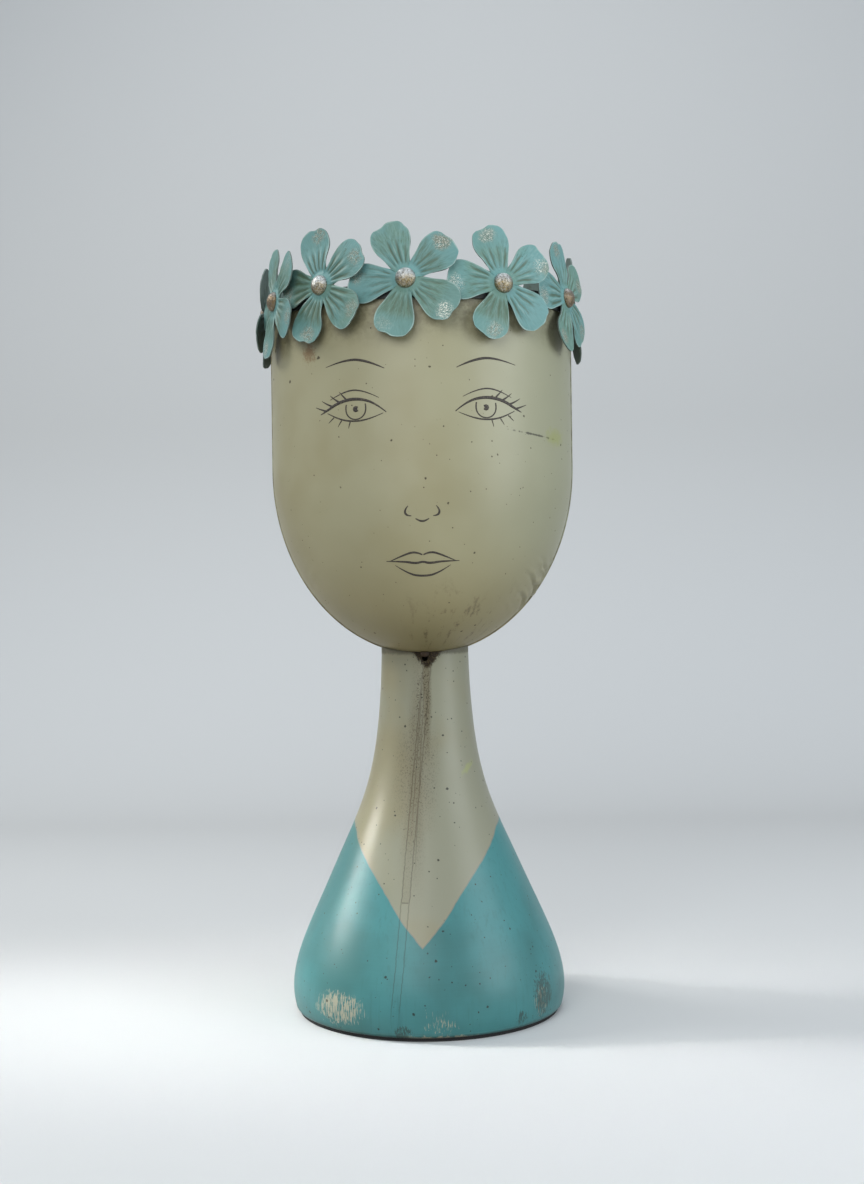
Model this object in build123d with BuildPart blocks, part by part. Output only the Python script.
from build123d import *
import math
import os

os.makedirs("parts", exist_ok=True)

# Sizes that several pieces share, in millimetres. The origin is on the ground under the
# middle of the base, +Z is up and the face looks along -Y.
sheet = 1.2  # wall of the pressed head, neck and shoulders
seat_gap = 0.3  # clearance left for paint and weld
overrun = 6.0  # how far a cutting solid reaches past the piece it cuts

# Base plate: the recessed disc that the planter stands on
base_thickness = 2.5
base_recess = 3.0  # how far its edge lies behind the painted hem
base_drain_radius = 5.0
base_drain_circle = 45.0
base_drains = 3

# Neck and shoulders: one round profile, pressed as two halves
shoulder_radius = 101.0
neck_radius = 32.5
neck_height = 263.3  # height of the chin, which the neck carries
hem_radius = 99.4
hem_bend = 3.0
hem_width = 15.0
# From the hem up: share of the neck's height, share of the flare from neck to shoulder
shoulder_profile_shares = (
    (0.068, 1.0),
    (0.140, 0.960),
    (0.225, 0.844),
    (0.339, 0.647),
    (0.452, 0.452),
    (0.581, 0.237),
    (0.695, 0.111),
    (0.809, 0.044),
    (0.905, 0.014),
)
weep_radius = 2.2  # weep hole at the front of the neck, just under the head

# Head: a round wall over a bowl that is fuller front to back than side to side
head_radius = 111.3
wall_height = 118.5
bowl_depth = 137.2
bowl_side_power = 2.0
bowl_front_power = 2.6
bowl_turns = (0, 14, 28, 42, 55, 67, 77, 84)  # degrees down the bowl to each section
lip = 1.2  # how far the seam lip stands out of the head
head_drain_radius = 4.0
head_drain_setback = 11.0  # how far behind the seam the head's drain lies

# Crown band: the hoop under the flowers
band_height = 10.0
band_thickness = 1.5
band_below_rim = 0.5

# Flowers: one stamped petal, five to a flower, bent and turned by hand when fitted
petal_sheet = 0.9
petal_length = 41.0
petal_half_width = 13.8
notch_radius = 12.0  # where two petals part
petals = 5
# Points along half of a petal's outline: share of the half width, share of the length
petal_flank_middle_share = (0.75, 0.45)
petal_flank_end_share = (0.985, 0.64)
petal_shoulder_middle_share = (0.97, 0.81)
petal_shoulder_end_share = (0.62, 0.957)
petal_leans = (1.0, -2.5, -2.0, 4.0, -4.5)  # degrees outwards, clockwise from the top petal
crease_fan = (-20.0, -7.0, 7.0, 20.0)  # degrees either side of the petal's middle line
crease_start = 8.0
crease_peak = 16.0
crease_length_shares = (0.60, 0.72, 0.69, 0.62)  # shares of the petal's length
crease_width = 3.1
crease_height = 1.0
hub_radius = 11.0
hub_lift = 0.9  # how far the middle stands out of the petals
hub_rise = 2.0  # height of the flowers' middles over the rim

# Where each flower sits: degrees round the head to the viewer's right, rise, turn of the
# top petal clockwise, yaw of its right side outwards and pitch of its top inwards
flower_places = (
    (-4.5, 0.0, -21, 4.0, 4.0),
    (29.5, -1.6, -15, 5.5, 4.0),
    (66.0, -2.2, -14, 3.0, 5.5),
    (99.0, -0.6, -20, 4.5, 4.0),
    (132.5, 0.4, -24, 4.5, 4.5),
    (165.0, -1.2, -17, 4.0, 4.0),
    (199.0, -0.2, -20, 5.0, 4.5),
    (232.0, -1.8, -23, 4.5, 4.0),
    (265.0, -1.0, -16, 4.5, 5.0),
    (297.0, -3.2, -22, 6.5, 4.5),
    (324.0, 0.0, -14, 4.5, 4.0),
)

# Beads: domes set on the flowers' middles
bead_radius = 7.0
bead_height = 5.0

# Tack welds between neck and head
weld_radius = 3.4
weld_azimuths = (0, 180)

chin_height = neck_height
bowl_top = chin_height + bowl_depth
rim_height = bowl_top + wall_height


def bowl_half_axes(turn, inset):
    """Half width, half depth and height of the head's section some degrees down its bowl."""
    sine = math.sin(math.radians(turn))
    radius = head_radius - inset
    half_width = radius * (1 - sine**bowl_side_power) ** (1 / bowl_side_power)
    half_depth = radius * (1 - sine**bowl_front_power) ** (1 / bowl_front_power)
    return half_width, half_depth, bowl_top - (bowl_depth - inset) * sine


def head_form(inset, top):
    """The front half of the head's solid form, set in by inset, from its floor up to top."""
    with BuildPart(mode=Mode.PRIVATE) as form:
        for turn in bowl_turns:
            half_width, half_depth, height = bowl_half_axes(turn, inset)
            with BuildSketch(Plane.XY.offset(height)):
                with BuildLine():
                    EllipticalCenterArc((0, 0), half_width, half_depth, 180, arc_size=180)
                    Line((half_width, 0), (-half_width, 0))
                make_face()
        loft()
        with BuildSketch(Plane.XY.offset(bowl_top)):
            with BuildLine():
                CenterArc((0, 0), head_radius - inset, 180, 180)
                Line((head_radius - inset, 0), (inset - head_radius, 0))
            make_face()
        extrude(amount=top - bowl_top)
    return form.part


def seam_plate(stand, thickness, top):
    """A plate of the head's front outline, standing out by stand, in front of the seam."""
    with BuildPart(mode=Mode.PRIVATE) as plate:
        with BuildSketch(Plane.XZ):
            with BuildLine():
                reach = head_radius + stand
                EllipticalCenterArc((0, bowl_top), reach, bowl_depth + stand, 180, arc_size=180)
                Polyline((reach, bowl_top), (reach, top), (-reach, top), (-reach, bowl_top))
            make_face()
        extrude(amount=thickness)
    return plate.part


# Neck and shoulders: a round profile turned half way round, hollowed to the sheet's thickness
side_rise_share = 1 - (1 - (neck_radius / head_radius) ** bowl_side_power) ** (1 / bowl_side_power)
neck_top = chin_height + bowl_depth * side_rise_share + overrun
flare = shoulder_radius - neck_radius
hem_bend_start = (hem_radius - hem_bend, base_thickness)
hem_hole_radius = hem_radius - hem_width
profile_points = [(hem_radius, base_thickness + hem_bend)]
for height_share, flare_share in shoulder_profile_shares:
    profile_points.append((neck_radius + flare * flare_share, neck_height * height_share))
profile_points.append((neck_radius, neck_height))
hollow_steps = 2 * len(profile_points)  # points on the sheet's inner side
with BuildPart() as bust_back_shell:
    with BuildSketch(Plane.XZ):
        with BuildLine():
            JernArc(hem_bend_start, (1, 0), hem_bend, 90)
            flank = Spline(*profile_points)
            neck_corners = ((neck_radius, neck_top), (0, neck_top), (0, base_thickness))
            Polyline(flank @ 1, *neck_corners, hem_bend_start)
        make_face()
    revolve(axis=Axis.Z, revolution_arc=180)
    with BuildSketch(Plane.XZ):
        with BuildLine():
            hem_inside = (hem_radius - hem_bend, base_thickness + sheet)
            bend = JernArc(hem_inside, (1, 0), hem_bend - sheet, 90)
            inside_points = [bend @ 1]
            for step in range(1, hollow_steps + 1):
                along = flank % (step / hollow_steps)
                inwards = Vector(-along.Y, along.X) * sheet
                inside_points.append(flank @ (step / hollow_steps) + inwards)
            inside = Spline(*inside_points)
            inside_top = ((inside @ 1).X, neck_top + overrun)
            Polyline(inside @ 1, inside_top, (0, inside_top[1]), (0, hem_inside[1]), hem_inside)
        make_face()
    revolve(axis=Axis.Z, revolution_arc=180, mode=Mode.SUBTRACT)
    with BuildSketch(Plane.XY.offset(base_thickness)):
        Circle(hem_hole_radius)
    extrude(amount=overrun, both=True, mode=Mode.SUBTRACT)
    # The neck's top edge follows the head and its seam lip
    grown_head = head_form(-seat_gap, rim_height).mirror(Plane.XZ)
    add(grown_head, mode=Mode.SUBTRACT)
    lip_slot = seam_plate(lip + seat_gap, sheet + seat_gap, rim_height).mirror(Plane.XZ)
    add(lip_slot, mode=Mode.SUBTRACT)

with BuildPart() as bust_front_shell:
    add(bust_back_shell.part.mirror(Plane.XZ))
    with BuildSketch(Plane.XZ.offset(neck_radius - overrun)):
        with Locations((0, neck_height - seat_gap - weep_radius)):
            Circle(weep_radius)
    extrude(amount=2 * overrun, mode=Mode.SUBTRACT)

with BuildPart() as base_plate:
    with BuildSketch():
        Circle(hem_radius - base_recess)
        with PolarLocations(base_drain_circle, base_drains):
            Circle(base_drain_radius, mode=Mode.SUBTRACT)
    extrude(amount=base_thickness)

# Head halves: sheet shells with a seam lip that stops under the crown band
band_top = rim_height - band_below_rim
band_bottom = band_top - band_height
with BuildPart() as head_front_shell:
    add(head_form(0, rim_height))
    add(seam_plate(lip, sheet, band_bottom - seat_gap))
    add(head_form(sheet, rim_height + overrun), mode=Mode.SUBTRACT)

with BuildPart() as head_back_shell:
    add(head_front_shell.part.mirror(Plane.XZ))
    with BuildSketch(Plane.XY.offset(chin_height - overrun)):
        with Locations((0, head_drain_setback)):
            Circle(head_drain_radius)
    extrude(amount=2 * overrun, mode=Mode.SUBTRACT)

band_inner = head_radius + seat_gap
band_outer = band_inner + band_thickness
with BuildPart() as crown_band:
    with BuildSketch(Plane.XY.offset(band_bottom)):
        Circle(band_outer)
        Circle(band_inner, mode=Mode.SUBTRACT)
    extrude(amount=band_height)

# One flat petal with its root at the flower's middle and its tip along +Y
root_angle = math.radians(180 / petals)
notch_point = (notch_radius * math.sin(root_angle), notch_radius * math.cos(root_angle))


def outline_point(shares):
    """A point of the petal's right side, from its shares of the half width and the length."""
    return petal_half_width * shares[0], petal_length * shares[1]


with BuildPart() as petal:
    with BuildSketch():
        with BuildLine():
            Line((0, 0), notch_point)
            widest = outline_point(petal_flank_end_share)
            tip_corner = outline_point(petal_shoulder_end_share)
            ThreePointArc(notch_point, outline_point(petal_flank_middle_share), widest)
            ThreePointArc(widest, outline_point(petal_shoulder_middle_share), tip_corner)
            mirror(about=Plane.YZ)
            ThreePointArc(tip_corner, (0, petal_length), (-tip_corner[0], tip_corner[1]))
        make_face()
    extrude(amount=petal_sheet)
    for fan, length_share in zip(crease_fan, crease_length_shares):
        crease_line = Location((0, 0, petal_sheet), (0, 0, -fan))
        crease_root = crease_line * Location((0, crease_start, 0))
        crease_end = crease_line * Location((0, petal_length * length_share, 0))
        with BuildSketch(Plane(crease_line * Location((0, crease_peak, 0), (90, 0, 0)))) as crest:
            with BuildLine():
                Polyline((-crease_width / 2, 0), (crease_width / 2, 0), (0, crease_height), close=True)
            make_face()
        crease_sections = (Vertex(crease_root.position), crest.sketch.face(), Vertex(crease_end.position))
        loft(sections=crease_sections, ruled=True)


def flower_location(azimuth, rise, turn, yaw, pitch):
    """Frame of a flower: x to the viewer's right, y up its face and z outwards, on its back face."""
    reach = math.radians(yaw - min(petal_leans))
    hub_distance = seat_gap + band_outer / math.cos(reach)
    place = Location((0, 0, 0), (0, 0, azimuth))
    place *= Location((0, -hub_distance, rim_height + hub_rise + rise), (90, 0, 0))
    place *= Location((0, 0, 0), (0, -yaw, 0))
    place *= Location((0, 0, 0), (-pitch, 0, 0))
    return place * Location((0, 0, 0), (0, 0, -turn))


bead_seats = []
flowers = {}
for number, flower_place in enumerate(flower_places, start=1):
    hub = flower_location(*flower_place)
    bead_seats.append(hub * Location((0, 0, petal_sheet + hub_lift)))
    with BuildPart() as flower:
        for index, lean in enumerate(petal_leans):
            petal_turn = Location((0, 0, 0), (0, 0, -index * 360 / petals))
            add(petal.part.moved(hub * petal_turn * Location((0, 0, 0), (lean, 0, 0))))
        with BuildSketch(Plane(hub)):
            Circle(hub_radius)
        with BuildSketch(Plane(bead_seats[-1])):
            Circle(bead_radius)
        loft()
    flower.part.label = f"flower_{number:02d}"
    flowers[flower.part.label] = flower

# Beads: one dome, set on every flower
dome_radius = (bead_radius**2 + bead_height**2) / (2 * bead_height)
with BuildPart(mode=Mode.PRIVATE) as bead:
    with BuildSketch(Plane.XZ):
        with BuildLine():
            Line((0, 0), (bead_radius, 0))
            RadiusArc((bead_radius, 0), (0, bead_height), -dome_radius)
            Line((0, bead_height), (0, 0))
        make_face()
    revolve(axis=Axis.Z)
with BuildPart() as flower_beads:
    for seat in bead_seats:
        add(bead.part.moved(seat))

# Tack welds: blobs in the corner between neck and head
front_rise_share = 1 - (1 - (neck_radius / head_radius) ** bowl_front_power) ** (1 / bowl_front_power)
weld_height = chin_height + bowl_depth * front_rise_share - seat_gap
with BuildPart(mode=Mode.PRIVATE) as weld:
    with Locations((0, -neck_radius, weld_height)):
        Sphere(weld_radius)
    add(grown_head.mirror(Plane.XZ), mode=Mode.SUBTRACT)
    with BuildSketch():
        Circle(neck_radius)
    extrude(amount=neck_top, mode=Mode.SUBTRACT)
with BuildPart() as neck_welds:
    for azimuth in weld_azimuths:
        add(weld.part.moved(Location((0, 0, 0), (0, 0, azimuth))))

pieces = {
    "head_front_shell": head_front_shell,
    "head_back_shell": head_back_shell,
    "crown_band": crown_band,
    **flowers,
    "flower_beads": flower_beads,
    "bust_front_shell": bust_front_shell,
    "bust_back_shell": bust_back_shell,
    "base_plate": base_plate,
    "neck_welds": neck_welds,
}
for name, piece in pieces.items():
    piece.part.label = name
    export_step(piece.part, f"parts/{name}.step")
    print(name, round(piece.part.volume, 1), piece.part.is_valid)
